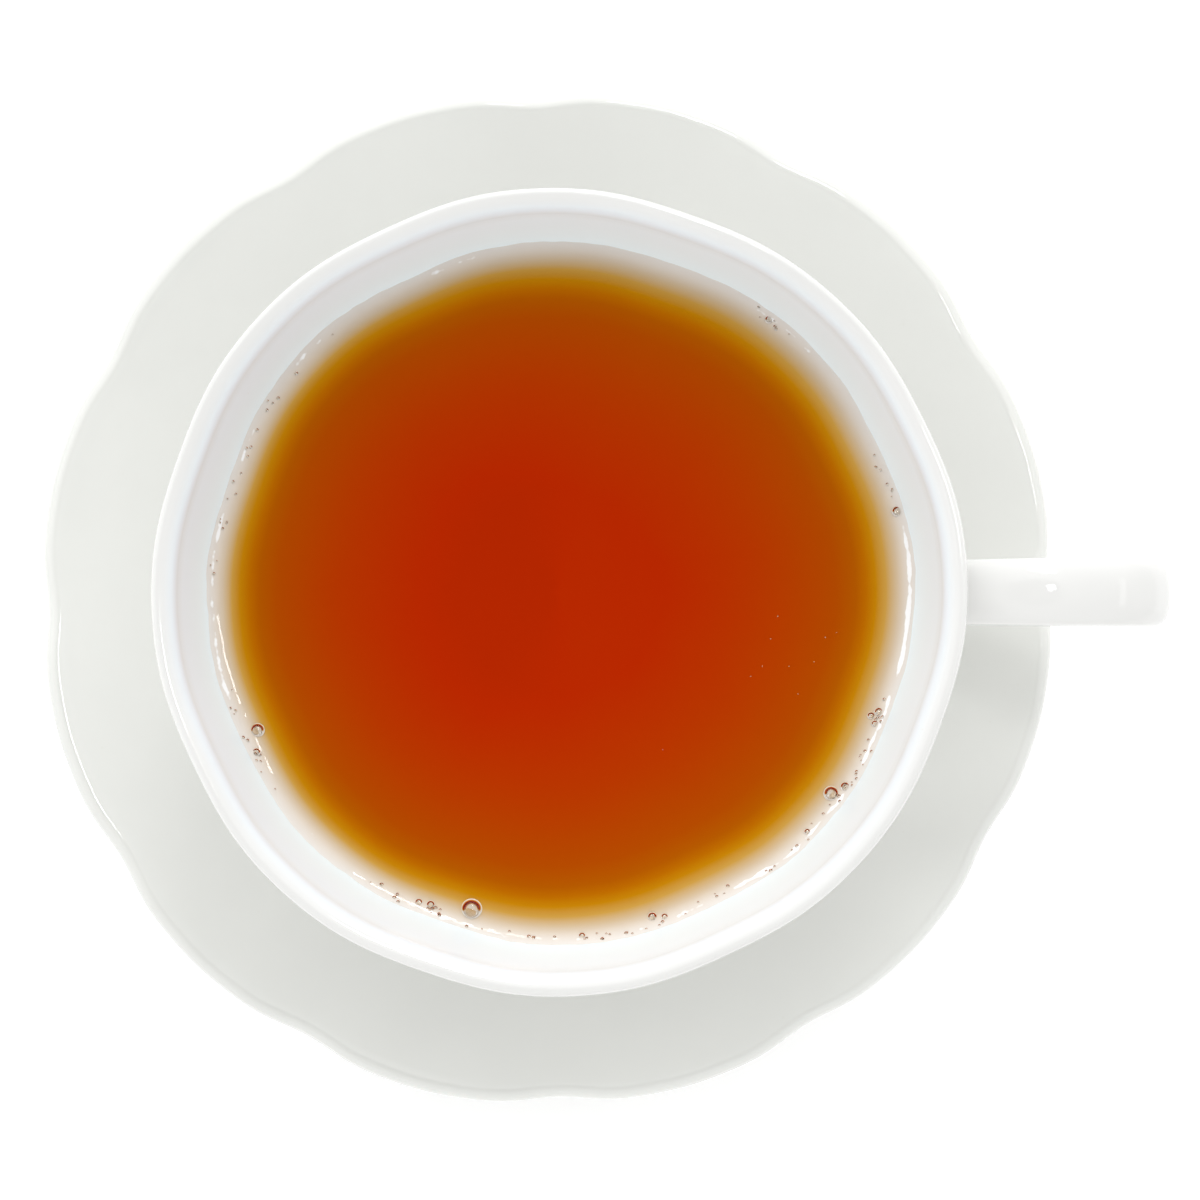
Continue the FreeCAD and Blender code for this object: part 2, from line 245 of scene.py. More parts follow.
def respaced(points, count):
    """The same line with evenly spaced points."""
    lengths = run_lengths(points)
    spaced = []
    index = 0
    for number in range(count):
        place = lengths[-1] * number / (count - 1)
        while index < len(points) - 2 and lengths[index + 1] < place:
            index += 1
        share = (place - lengths[index]) / max(lengths[index + 1] - lengths[index], 1e-12)
        spaced.append(points[index].lerp(points[index + 1], min(share, 1.0)))
    return spaced


# ---------------------------------------------------------------- cup shape
def outside_curve(count=200):
    """Radius and height of the bowl's outside, from its base to its rim."""
    tall = CUP_HEIGHT - CUP_FOOT_HEIGHT
    base = Vector((CUP_BASE_RADIUS, CUP_FOOT_HEIGHT))
    rim = Vector((CUP_RIM_RADIUS, CUP_HEIGHT))
    upward = Vector((math.sin(CUP_BASE_LEAN), math.cos(CUP_BASE_LEAN))) * tall * CUP_BASE_SWELL
    downward = Vector((math.sin(CUP_RIM_LEAN), math.cos(CUP_RIM_LEAN))) * tall * CUP_RIM_SWELL
    poles = (base, base + upward, rim - downward, rim)
    points = []
    for number in range(count):
        t = number / (count - 1)
        weights = ((1 - t) ** 3, 3 * t * (1 - t) ** 2, 3 * t * t * (1 - t), t ** 3)
        points.append(sum((pole * weight for pole, weight in zip(poles, weights)), Vector((0, 0))))
    return points


def inside_curve(count=200):
    """Radius and height of the bowl's inside, from its flat floor to its rim."""
    steps = 200
    line = respaced(outside_curve(), steps + 1)
    knots = [Vector((CUP_FLOOR_RADIUS, CUP_FOOT_HEIGHT + CUP_FLOOR))]
    for share in (0.22, 0.4, 0.6, 0.8, 1.0):
        place = round(share * steps)
        index = min(place, steps - 1)
        heading = (line[index + 1] - line[index]).normalized()
        wall = CUP_WALL_BASE + (CUP_WALL_RIM - CUP_WALL_BASE) * share
        knots.append(line[place] - Vector((heading.y, -heading.x)) * wall)
    knots[-1] = knots[-1] + heading * ((CUP_HEIGHT - knots[-1].y) / heading.y)
    return cubic_curve(knots, count)


def radius_at(curve, height):
    """Radius of a rising profile at a height."""
    for low, high in zip(curve, curve[1:]):
        if high.y >= height:
            share = (height - low.y) / max(high.y - low.y, 1e-12)
            return low.x + (high.x - low.x) * share
    return curve[-1].x


def cup_wave(angle, height):
    """How far the flutes and the pull of the handle move the wall outwards."""
    share = (height - CUP_FOOT_HEIGHT) / (CUP_HEIGHT - CUP_FOOT_HEIGHT)
    share = min(max(share, 0.0), 1.0)
    phase = CUP_LOBES * (angle - CUP_LOBE_TURN)
    wave = 0.5 * CUP_LOBE_DEPTH * (math.cos(phase) - CUP_LOBE_CREST * math.cos(2 * phase))
    pull = CUP_RIM_PULL * (math.cos(2 * angle) + 0.7 * math.cos(3 * angle))
    return wave * smoothstep(2.5 * share) + pull * share ** 2


OUTSIDE = outside_curve()
INSIDE = inside_curve()


def quarter(crest, foot, steps=10):
    """A quarter of an oval, from its crest down to its foot."""
    corner = Vector((crest.x, foot.y))
    reach = Vector((foot.x - crest.x, crest.y - foot.y))
    angles = [math.pi / 2 * step / steps for step in range(steps + 1)]
    return [corner + Vector((reach.x * math.sin(angle), reach.y * math.cos(angle)))
            for angle in angles]


def foot_ring(outer, inner, edge):
    """Rounded bottom of a foot ring, from its outside to its inside."""
    angles = [math.pi / 2 * step / 6 for step in range(7)]
    points = [Vector((outer - edge + edge * math.cos(angle), edge - edge * math.sin(angle)))
              for angle in angles]
    return points + [Vector((inner + edge - edge * math.sin(angle),
                             edge - edge * math.cos(angle))) for angle in angles]


def cup_section():
    """Closed section of the bowl from the inside floor over the lip to the underside."""
    inside_lip = CUP_HEIGHT - LIP_ROUND_INSIDE
    outside_lip = CUP_HEIGHT - LIP_ROUND_DOWN
    section = [Vector((CUP_FLOOR_RADIUS * share, CUP_FOOT_HEIGHT + CUP_FLOOR))
               for share in (0.02, 0.2, 0.4, 0.6, 0.8)]
    section += respaced([point for point in INSIDE if point.y < inside_lip], 64)
    crest = Vector((CUP_RIM_RADIUS - LIP_ROUND_OUT - 0.1 * MM, CUP_HEIGHT))
    inner = Vector((radius_at(INSIDE, inside_lip), inside_lip))
    outer = Vector((radius_at(OUTSIDE, outside_lip), outside_lip))
    section += quarter(crest, inner)[-2:0:-1]
    section += quarter(crest, outer)[:-1]
    section += respaced([point for point in reversed(OUTSIDE) if point.y < outside_lip], 56)
    foot_inner = CUP_FOOT_RADIUS - CUP_FOOT_WIDTH
    section += [Vector((CUP_FOOT_RADIUS + 0.15 * MM, CUP_FOOT_HEIGHT * 0.8)),
                Vector((CUP_FOOT_RADIUS, CUP_FOOT_HEIGHT * 0.5))]
    section += foot_ring(CUP_FOOT_RADIUS, foot_inner, CUP_FOOT_EDGE)
    section += [Vector((foot_inner, CUP_FOOT_HEIGHT * 0.6)),
                Vector((foot_inner - 0.6 * MM, CUP_FOOT_HEIGHT * 0.95)),
                Vector((foot_inner - 2.0 * MM, CUP_FOOT_HEIGHT)),
                Vector((foot_inner * 0.5, CUP_FOOT_HEIGHT)),
                Vector((0.4 * MM, CUP_FOOT_HEIGHT))]
    return section


def cup_point(radius, height, angle):
    """A point of the cup's section, turned to an angle, with the flutes added."""
    reach = radius + cup_wave(angle, height) * smoothstep(radius / (30 * MM))
    return Vector((CUP_AXIS_X + reach * math.cos(angle), reach * math.sin(angle),
                   CUP_STAND + height))


def ring_mesh(section, columns, place):
    """Points and faces of a section carried round its axis, closed at both ends by fans."""
    points = []
    for spot in section:
        points += [place(spot.x, spot.y, TURN * column / columns) for column in range(columns)]
    faces = grid_faces(len(section), columns)
    for row, flip in ((0, False), (len(section) - 1, True)):
        faces += fan_faces(len(points), row * columns, columns, flip)
        points.append(place(0.0, section[row].y, 0.0))
    return points, faces


# ---------------------------------------------------------------- handle shape
def strap_route():
    """Centre line of the strap from inside the wall at its top to inside the wall below."""
    top = radius_at(OUTSIDE, HANDLE_TOP_HEIGHT)
    low = radius_at(OUTSIDE, HANDLE_LOW_HEIGHT)
    outer = HANDLE_REACH - HANDLE_THICKNESS / 2
    low_x = low + HANDLE_LOW_OUT
    knots = [
        Vector((top - HANDLE_SINK, HANDLE_TOP_HEIGHT - 0.5 * HANDLE_SINK)),
        Vector((top + 0.45 * HANDLE_CREST_OUT,
                0.38 * HANDLE_TOP_HEIGHT + 0.62 * HANDLE_CREST_HEIGHT)),
        Vector((top + HANDLE_CREST_OUT, HANDLE_CREST_HEIGHT)),
        Vector((outer, HANDLE_REACH_HEIGHT)),
        Vector((low_x + 0.62 * (outer - low_x),
                0.66 * HANDLE_LOW_HEIGHT + 0.34 * HANDLE_REACH_HEIGHT)),
        Vector((low_x, HANDLE_LOW_HEIGHT - HANDLE_LOW_DROP)),
        Vector((low - HANDLE_SINK, HANDLE_LOW_HEIGHT)),
    ]
    return respaced(cubic_curve(knots, 600), 401)


def handle_mesh(columns=56, rows=110, fillet_rows=8):
    """A rounded strap whose roots flare into the wall."""
    route = strap_route()
    last = len(route) - 1

    def strap_point(column, share):
        place = min(max(share, 0.0), 1.0) * last
        index = min(int(place), last - 1)
        centre = route[index].lerp(route[index + 1], place - index)
        before = route[max(index - 3, 0)]
        after = route[min(index + 4, last)]
        heading = (after - before).normalized()
        outward = Vector((-heading.y, heading.x))
        angle = TURN * column / columns
        power = 2 / HANDLE_SQUARENESS
        side = math.copysign(abs(math.cos(angle)) ** power, math.cos(angle))
        lift = math.copysign(abs(math.sin(angle)) ** power, math.sin(angle))
        broad = math.sin(math.pi * share)
        half = (HANDLE_ROOT_WIDTH + (HANDLE_WIDTH - HANDLE_ROOT_WIDTH) * broad) / 2
        flat = centre + outward * (HANDLE_THICKNESS / 2 * lift)
        return Vector((CUP_AXIS_X + flat.x, half * side, CUP_STAND + flat.y))

    def above_wall(point):
        """Distance of a point outside the bowl's wall, measured along the radius."""
        across = Vector((point.x - CUP_AXIS_X, point.y))
        height = point.z - CUP_STAND
        angle = math.atan2(across.y, across.x)
        return across.length - radius_at(OUTSIDE, height) - cup_wave(angle, height)

    def wall_point(angle, height):
        reach = radius_at(OUTSIDE, height) + cup_wave(angle, height)
        return Vector((CUP_AXIS_X + reach * math.cos(angle), reach * math.sin(angle),
                       CUP_STAND + height))

    def onto_wall(point):
        across = Vector((point.x - CUP_AXIS_X, point.y))
        return wall_point(math.atan2(across.y, across.x), point.z - CUP_STAND)

    def crossing(column, inner, outer):
        """Share of the route at which one of the strap's long lines leaves the wall."""
        for _ in range(40):
            middle = (inner + outer) / 2
            if above_wall(strap_point(column, middle)) < 0:
                inner = middle
            else:
                outer = middle
        return (inner + outer) / 2

    lines = []
    for column in range(columns):
        line = []
        ends = []
        for inner, outer in ((0.0, 0.3), (1.0, 0.7)):
            share = crossing(column, inner, outer)
            contact = strap_point(column, share)
            step = 0.01 if outer > inner else -0.01
            away = (strap_point(column, share + step) - contact).normalized()
            centre = strap_point(0, share).lerp(strap_point(columns // 2, share), 0.5)
            spread = onto_wall(contact + (contact - centre).normalized() * HANDLE_FILLET)
            length = 0.0
            reach = share
            while length < HANDLE_FILLET:
                reach += step * 0.1
                length = (strap_point(column, reach) - contact).length
            ends.append((reach, contact, spread, away))
        for (reach, contact, spread, _), order in zip(ends, (1, -1)):
            meet = strap_point(column, reach)
            curl = []
            for step in range(fillet_rows):
                u = step / fillet_rows
                curl.append(spread * (1 - u) ** 2 + contact * (2 * u * (1 - u)) + meet * u * u)
            ends.append(curl)
        start, end = ends[0][0], ends[1][0]
        line += ends[2]
        for row in range(rows + 1):
            line.append(strap_point(column, start + (end - start) * row / rows))
        line += reversed(ends[3])
        lines.append(line)
    count = len(lines[0])
    points = [lines[column][row] for row in range(count) for column in range(columns)]
    return points, grid_faces(count, columns)


# ---------------------------------------------------------------- saucer shape
def saucer_wave(angle):
    """How far the scallops move the saucer's rim outwards."""
    phase = SAUCER_LOBES * (angle - SAUCER_LOBE_TURN)
    return 0.5 * SAUCER_LOBE_DEPTH * (math.cos(phase) - SAUCER_LOBE_CREST * math.cos(2 * phase)
                                      + SAUCER_LOBE_NOTCH * math.cos(3 * phase))


def saucer_section():
    """Section of the saucer from the middle of its top over the rim to its underside."""
    top = SAUCER_FOOT_HEIGHT + SAUCER_PLATE
    centre = Vector((SAUCER_WELL_RADIUS, top + SAUCER_DISH_RADIUS))
    along = Vector((math.cos(SAUCER_SLOPE), math.sin(SAUCER_SLOPE)))

    def dish(radius, share):
        angle = SAUCER_SLOPE * share
        return centre + Vector((math.sin(angle), -math.cos(angle))) * radius

    half = SAUCER_PLATE / 2
    bend = dish(SAUCER_DISH_RADIUS + half, 1.0)
    run = (SAUCER_RIM_RADIUS - half - bend.x) / along.x
    tip = bend + along * run
    section = [Vector((SAUCER_WELL_RADIUS * share / 12, top)) for share in range(1, 12)]
    section += [dish(SAUCER_DISH_RADIUS, step / 16) for step in range(17)]
    upper = Vector((-along.y, along.x)) * half
    section += [bend + upper + along * (run * step / 24) for step in range(1, 24)]
    for step in range(17):
        angle = math.pi / 2 + SAUCER_SLOPE - math.pi * step / 16
        section.append(tip + Vector((math.cos(angle), math.sin(angle))) * half)
    section += [bend - upper + along * (run * step / 20) for step in range(19, 0, -1)]
    under = SAUCER_DISH_RADIUS + SAUCER_PLATE
    foot_share = math.asin((SAUCER_FOOT_RADIUS + 0.6 * MM - centre.x) / under) / SAUCER_SLOPE
    section += [dish(under, 1 + (foot_share - 1) * step / 12) for step in range(13)]
    foot_inner = SAUCER_FOOT_RADIUS - SAUCER_FOOT_WIDTH
    section += foot_ring(SAUCER_FOOT_RADIUS, foot_inner, SAUCER_FOOT_EDGE)
    section += [Vector((foot_inner, SAUCER_FOOT_HEIGHT * 0.75)),
                Vector((foot_inner - 0.7 * MM, SAUCER_FOOT_HEIGHT)),
                Vector((foot_inner * 0.5, SAUCER_FOOT_HEIGHT)),
                Vector((1.0 * MM, SAUCER_FOOT_HEIGHT))]
    return section


def saucer_point(radius, height, angle):
    """A point of the saucer's section, turned to an angle, moved along its slope."""
    fade = smoothstep((radius - SAUCER_WAVE_START)
                      / (SAUCER_RIM_RADIUS - SAUCER_WAVE_START - 4 * MM))
    shift = saucer_wave(angle) * fade
    reach = radius + shift
    return Vector((reach * math.cos(angle), reach * math.sin(angle),
                   height + shift * math.tan(SAUCER_SLOPE)))


# ---------------------------------------------------------------- tea shape
def height_at(radius):
    """Height of the bowl's inside at a radius."""
    if radius <= CUP_FLOOR_RADIUS:
        return CUP_FOOT_HEIGHT + CUP_FLOOR
    for low, high in zip(INSIDE, INSIDE[1:]):
        if high.x >= radius:
            share = (radius - low.x) / max(high.x - low.x, 1e-12)
            return low.y + (high.y - low.y) * share
    return INSIDE[-1].y


def meniscus_rise(angle):
    """The tea climbs the wall unevenly."""
    spot = Vector((math.cos(angle), math.sin(angle), 0.0)) * 6.0
    return MENISCUS_RISE * (1.0 + 0.35 * noise.noise(spot) + 0.15 * noise.noise(spot * 4.0))


# Where the tea's edge is pale with froth and a painted highlight: start, end in degrees, strength.
GLEAM_ARCS = [
    (-14, 11, 1.0), (-31, -16, 0.8), (-60, -34, 0.62), (166, 198, 0.66), (151, 158, 0.6),
    (132, 139, 0.6), (236, 262, 0.45), (272, 300, 0.4), (104, 112, 0.5), (42, 56, 0.5),
]


def gleam_at(angle, away):
    """Painted highlight, with froth, on the drawn-up edge, strongest a little inside the line of
    contact.
    """
    degrees = math.degrees(angle)
    best = 0.0
    for start, end, strength in GLEAM_ARCS:
        for turned in (degrees, degrees - 360):
            inside = min(turned - start, end - turned)
            best = max(best, strength * smoothstep(0.5 + inside / 4.0))
    place = GLEAM_PLACE + 0.2 * MM * noise.noise(Vector((13.0 * math.cos(angle),
                                                        13.0 * math.sin(angle), 5.0)))
    return best * math.exp(-((away - place) / GLEAM_WIDTH) ** 2)


SLANT_SHADE_DEPTH = 2.2 * MM         # painted shade: most that is added to the depth opposite the handle
SLANT_START = 4.0 * MM        # depth at which that begins
SLANT_RUN = 6.0 * MM          # and over which it comes in


def painted_shade_depth(depth, angle):
    """Depth that sets the colour, with more of it on the side opposite the handle: painted shade,
    darker tea seen at a slant.
    """
    far = smoothstep(0.35 - 0.9 * math.cos(angle))
    return depth + SLANT_SHADE_DEPTH * far * smoothstep((depth - SLANT_START) / SLANT_RUN)


TEA_EDGE_BAND = 5.0 * MM      # width of the finer rows along the wall


def tea_mesh(columns=840, far_rows=40, near_rows=44):
    """The tea down to the cup's floor, its edge drawn up the wall and reaching into it."""
    level = TEA_LEVEL - CUP_STAND
    near = TEA_EDGE_BAND
    points = []
    depths = []
    gleams = []
    rows = []
    for row in range(1, far_rows):
        rows.append(("far", row / far_rows))
    for row in range(near_rows + 1):
        rows.append(("near", (1 - row / near_rows) ** 1.6))
    contacts = []
    for column in range(columns):
        angle = TURN * column / columns
        rise = meniscus_rise(angle)
        wall = radius_at(INSIDE, level + rise) + cup_wave(angle, level + rise)
        contacts.append((angle, rise, wall))
    for kind, share in rows:
        for angle, rise, wall in contacts:
            away = near * share if kind == "near" else near + (wall - near) * (1 - share)
            radius = wall - away
            lift = rise * math.exp(-away / MENISCUS_REACH)
            floor = height_at(radius - cup_wave(angle, level))
            points.append(Vector((CUP_AXIS_X + radius * math.cos(angle), radius * math.sin(angle),
                                  TEA_LEVEL + lift)))
            depths.append(painted_shade_depth(max(level + lift - floor, 0.0), angle))
            gleams.append(gleam_at(angle, away) if away < 3 * GLEAM_PLACE else 0.0)
    floor = CUP_FOOT_HEIGHT + CUP_FLOOR
    skirt = (1.0, 0.8, 0.6, 0.4, 0.2, 0.0)
    for share in skirt:
        for angle, rise, wall in contacts:
            height = floor + (level + rise - floor) * share
            radius = radius_at(INSIDE, height) + cup_wave(angle, height) + WALL_BITE
            points.append(Vector((CUP_AXIS_X + radius * math.cos(angle), radius * math.sin(angle),
                                  CUP_STAND + height - (WALL_BITE if share == 0.0 else 0.0))))
            depths.append(0.0)
            gleams.append(0.0)
    count = len(rows) + len(skirt)
    faces = grid_faces(count, columns)
    for row, height, flip in ((0, TEA_LEVEL, False),
                              (count - 1, CUP_STAND + floor - WALL_BITE, True)):
        faces += fan_faces(len(points), row * columns, columns, flip)
        points.append(Vector((CUP_AXIS_X, 0.0, height)))
        depths.append(level - floor)
        gleams.append(0.0)
    return points, faces, depths, gleams


# ---------------------------------------------------------------- bubbles
# Angle about the cup's axis in degrees, distance from the wall and diameter in millimetres.
BUBBLES = [
    (254.5, 2.5, 2.25), (204.5, 2.2, 1.5), (323.5, 1.9, 1.6), (325.8, 1.0, 1.0),
    (338.4, 2.0, 0.8), (339.5, 1.3, 0.9), (337.4, 1.2, 0.7), (286.0, 1.6, 1.0),
    (288.0, 1.1, 0.7), (247.6, 1.4, 0.9), (245.6, 1.2, 0.8), (273.8, 1.0, 0.7),
    (207.8, 0.9, 0.9), (52.5, 0.9, 0.8), (13.5, 0.8, 1.1), (316.0, 1.0, 0.7),
]
# Arcs, in degrees, along which fine bubbles sit against the wall, and how many.
FINE_ARCS = [
    (236, 300, 44), (306, 342, 34), (196, 215, 12), (130, 178, 22), (8, 24, 8), (44, 60, 6),
]

STRAY_BUBBLES = 9             # specks out on the tea


def bubble_spots():
    """The larger bubbles, then a random scatter of fine ones."""
    spots = list(BUBBLES)
    for start, end, count in FINE_ARCS:
        for _ in range(count):
            spots.append((random.uniform(start, end), random.uniform(0.25, 1.3),
                          random.uniform(0.2, 0.45)))
    for _ in range(STRAY_BUBBLES):
        spots.append((random.uniform(330, 358), random.uniform(9, 22),
                      random.uniform(0.10, 0.18)))
    return spots


def bubble_meshes():
    """Thin clear domes, and the rings of tea drawn up round them."""
    level = TEA_LEVEL - CUP_STAND
    domes = ([], [])
    rings = ([], [], [], [])
    for degrees, gap, size in bubble_spots():
        angle = math.radians(degrees)
        rise = meniscus_rise(angle)
        wall = radius_at(INSIDE, level + rise) + cup_wave(angle, level + rise)
        away = gap * MM
        lift = rise * math.exp(-away / MENISCUS_REACH)
        reach = wall - away
        centre = Vector((CUP_AXIS_X + reach * math.cos(angle), reach * math.sin(angle),
                         TEA_LEVEL + lift))
        radius = size * MM / 2
        columns = 40 if size > 0.6 else 14
        add_dome(domes, centre, radius, columns)
        add_ring(rings, centre, radius, columns, min(gap, 8.0) * MM)
    return domes, rings


# Shape of a bubble's film in shares of its radius.
FILM_THICKNESS = 0.02
FILM_FLATNESS = 0.8
FILM_SINK = 0.12


def add_dome(domes, centre, radius, columns):
    """A film of two skins, a little less than half a ball."""
    points, faces = domes
    rows = columns // 4
    film = FILM_THICKNESS * radius
    sink = FILM_SINK * radius
    for skin, flip in ((radius, False), (radius - film, True)):
        first = len(points)
        for row in range(rows):
            climb = math.pi / 2 * row / rows
            for column in range(columns):
                turn = TURN * column / columns
                points.append(centre + Vector((skin * math.cos(climb) * math.cos(turn),
                                               skin * math.cos(climb) * math.sin(turn),
                                               FILM_FLATNESS * skin * math.sin(climb) - sink)))
        faces += grid_faces(rows, columns, first, flip)
        faces += fan_faces(len(points), first + (rows - 1) * columns, columns, flip)
        points.append(centre + Vector((0, 0, FILM_FLATNESS * skin - sink)))


# Painted highlights on a bubble's ring: place and size in shares of its radius.
RING_PAINTED_HIGHLIGHTS = ((-0.45, -0.35, 0.2), (0.5, -0.5, 0.17), (0.1, -0.75, 0.13))
RING_PAINTED_SHADE_DEPTH = 62.0 * MM      # depth that gives the painted dark brown shade of the ring's arc
# Width and height of the drawn-up ring in shares of the bubble's radius.
RING_SECTION = ((1.20, 0.0), (1.14, 0.04), (1.09, 0.1), (1.04, 0.2), (1.0, 0.32), (0.94, 0.3),
                (0.87, 0.2), (0.79, 0.1), (0.70, 0.05), (0.58, 0.03), (0.42, 0.02), (0.22, 0.02))


def add_ring(rings, centre, radius, columns, away):
    """Tea round and under a bubble: painted shade deep in an arc on the +Y side, a painted pale
    halo, pale elsewhere, and painted highlights.
    """
    points, faces, depths, gleams = rings
    first = len(points)
    sink = 0.02 * radius
    around = 0.55 * away
    for wide, tall in RING_SECTION:
        for column in range(columns):
            turn = TURN * column / columns
            points.append(centre + Vector((radius * wide * math.cos(turn),
                                           radius * wide * math.sin(turn),
                                           radius * tall - sink)))
            # Painted shade: a dark arc on the +Y side; painted light: a pale halo round the ring.
            painted_shade_arc = smoothstep((math.sin(turn) + 0.25) / 0.6)
            painted_shade_arc *= math.exp(-((wide - 0.86) / 0.15) ** 2)
            painted_light_halo = math.exp(-((wide - 1.10) / 0.06) ** 2)
            shallow = max(around * (1 - painted_light_halo), 0.3 * MM)
            depths.append(shallow * (1 - painted_shade_arc) + RING_PAINTED_SHADE_DEPTH * painted_shade_arc)
            # Painted highlights: pale sparks on the ring.
            spot = Vector((wide * math.cos(turn), wide * math.sin(turn)))
            spark = sum(math.exp(-((spot - Vector((x, y))).length / size) ** 2)
                        for x, y, size in RING_PAINTED_HIGHLIGHTS)
            gleams.append(min(1.0, 1.3 * spark))
    faces += grid_faces(len(RING_SECTION), columns, first)
    last = first + (len(RING_SECTION) - 1) * columns
    faces += fan_faces(len(points), last, columns)
    points.append(centre.copy())
    depths.append(around)
    gleams.append(0.0)


# ---------------------------------------------------------------- materials
def linear(shade):
    """Linear colour from everyday 0-255 values."""
    channels = [value / 255 for value in shade]
    return tuple(value / 12.92 if value <= 0.04045 else ((value + 0.055) / 1.055) ** 2.4
                 for value in channels) + (1.0,)


def grey(tone):
    return (tone, tone, tone, 1.0)


class Nodes:
    """Small helper round one node tree."""

    def __init__(self, tree):
        self.tree = tree

    def node(self, kind, **settings):
        made = self.tree.nodes.new(kind)
        for key, value in settings.items():
            if hasattr(made, key):
                setattr(made, key, value)
            else:
                made.inputs[key.replace("_", " ")].default_value = value
        return made

    def link(self, source, target):
        self.tree.links.new(source, target)

    def ramp(self, source, stops):
        made = self.node("ShaderNodeValToRGB")
        elements = made.color_ramp.elements
        while len(elements) < len(stops):
            elements.new(0.5)
        for element, (place, colour) in zip(elements, sorted(stops)):
            element.position = place
            element.color = colour
        self.link(source, made.inputs["Fac"])
        return made

    def mix(self, blend, first, second):
        """One colour blended fully onto another."""
        made = self.node("ShaderNodeMixRGB", blend_type=blend)
        made.inputs["Fac"].default_value = 1.0
        self.link(first, made.inputs["Color1"])
        self.link(second, made.inputs["Color2"])
        return made.outputs["Color"]


class Shades(Nodes):
    """The nodes of one material."""

    def __init__(self, name):
        self.material = bpy.data.materials.new(name)
        self.material.use_nodes = True
        super().__init__(self.material.node_tree)
        self.surface = self.tree.nodes["Principled BSDF"]

    def socket(self, name, value):
        self.surface.inputs[name].default_value = value


def drip(shades, where, colour, place, size, shade, strength):
    """A dried drip with a ragged edge over a colour."""
    ragged = shades.node("ShaderNodeTexNoise", Scale=900.0, Detail=2.0)
    shades.link(where, ragged.inputs["Vector"])
    spread = shades.node("ShaderNodeVectorMath", operation="DISTANCE")
    spread.inputs[1].default_value = place
    shades.link(where, spread.inputs[0])
    wobble = shades.node("ShaderNodeMath", operation="MULTIPLY_ADD")
    wobble.inputs[1].default_value = 0.9 * size
    shades.link(ragged.outputs["Fac"], wobble.inputs[0])
    shades.link(spread.outputs["Value"], wobble.inputs[2])
    scaled = shades.node("ShaderNodeMath", operation="DIVIDE")
    scaled.inputs[1].default_value = 2.0 * size
    shades.link(wobble.outputs[0], scaled.inputs[0])
    edge = shades.ramp(scaled.outputs[0], [(0.45, grey(strength)), (0.62, grey(0))])
    dried = shades.node("ShaderNodeMixRGB", Color2=linear(shade))
    shades.link(edge.outputs["Color"], dried.inputs["Fac"])
    shades.link(colour, dried.inputs["Color1"])
    return dried.outputs["Color"]


def porcelain(name, light, dark, drips=(), inside=None):
    """White glaze: faint clouding, rare pinholes, a slow waviness and a mirror-like gloss, and, if
    an inside colour is given, a lighter, bluer inside that is painted light.
    """
    shades = Shades(name)
    where = shades.node("ShaderNodeTexCoord").outputs["Object"]
    cloud = shades.node("ShaderNodeTexNoise", Scale=38.0, Detail=3.0, Roughness=0.5)
    shades.link(where, cloud.inputs["Vector"])
    body = shades.ramp(cloud.outputs["Fac"], [(0.35, linear(dark)), (0.65, linear(light))])
    colour = body.outputs["Color"]
    # Painted light: the glaze is painted lighter and bluer inside the bowl, against the tea's
    # reddish bounce light and the shade there.
    if inside:
        painted_light_within = shades.node("ShaderNodeAttribute", attribute_name="painted_light_within").outputs["Fac"]
        painted_light_lined = shades.node("ShaderNodeMixRGB", Color2=linear(inside))
        shades.link(painted_light_within, painted_light_lined.inputs["Fac"])
        shades.link(colour, painted_light_lined.inputs["Color1"])
        colour = painted_light_lined.outputs["Color"]
    pinholes = shades.node("ShaderNodeTexVoronoi", Scale=210.0)
    shades.link(where, pinholes.inputs["Vector"])
    mask = shades.ramp(pinholes.outputs["Distance"], [(0.0, grey(1)), (0.045, grey(0))])
    speck = shades.node("ShaderNodeMixRGB", Color2=linear((214, 211, 200)))
    weaken = shades.node("ShaderNodeMath", operation="MULTIPLY")
    weaken.inputs[1].default_value = 0.25
    shades.link(mask.outputs["Color"], weaken.inputs[0])
    shades.link(weaken.outputs[0], speck.inputs["Fac"])
    shades.link(colour, speck.inputs["Color1"])
    colour = speck.outputs["Color"]
    for measures in drips:
        colour = drip(shades, where, colour, *measures)
    shades.link(colour, shades.surface.inputs["Base Color"])
    wave = shades.node("ShaderNodeTexNoise", Scale=120.0, Detail=1.0)
    shades.link(where, wave.inputs["Vector"])
    bump = shades.node("ShaderNodeBump", Strength=0.25, Distance=0.00006)
    shades.link(wave.outputs["Fac"], bump.inputs["Height"])
    shades.link(bump.outputs["Normal"], shades.surface.inputs["Normal"])
    gloss = shades.ramp(cloud.outputs["Fac"], [(0.3, grey(0.04)), (0.7, grey(0.06))])
    shades.link(gloss.outputs["Color"], shades.surface.inputs["Roughness"])
    shades.socket("IOR", 1.5)
    return shades.material


# Colour of the tea over white porcelain, by depth in millimetres.
TEA_SHADES = [
    (0.0, (228, 223, 217)), (1.9, (223, 212, 200)), (5.5, (207, 182, 148)), (9.0, (198, 152, 70)),
    (12.6, (189, 126, 9)), (16.0, (180, 101, 1)), (19.0, (171, 84, 1)), (24.0, (170, 70, 1)),
    (29.0, (171, 62, 1)), (34.0, (173, 51, 1)), (39.5, (175, 37, 1)),
]
TEA_DEEPEST = 70.0            # last stop of that scale, for the painted shade of the arcs round the bubbles
TEA_PAINTED_LIT_TONE = 1.05          # painted light: share of the colour's brightness at the -Y edge
TEA_PAINTED_SHADE_TONE = 0.87           # and painted shade: its share at the +Y edge
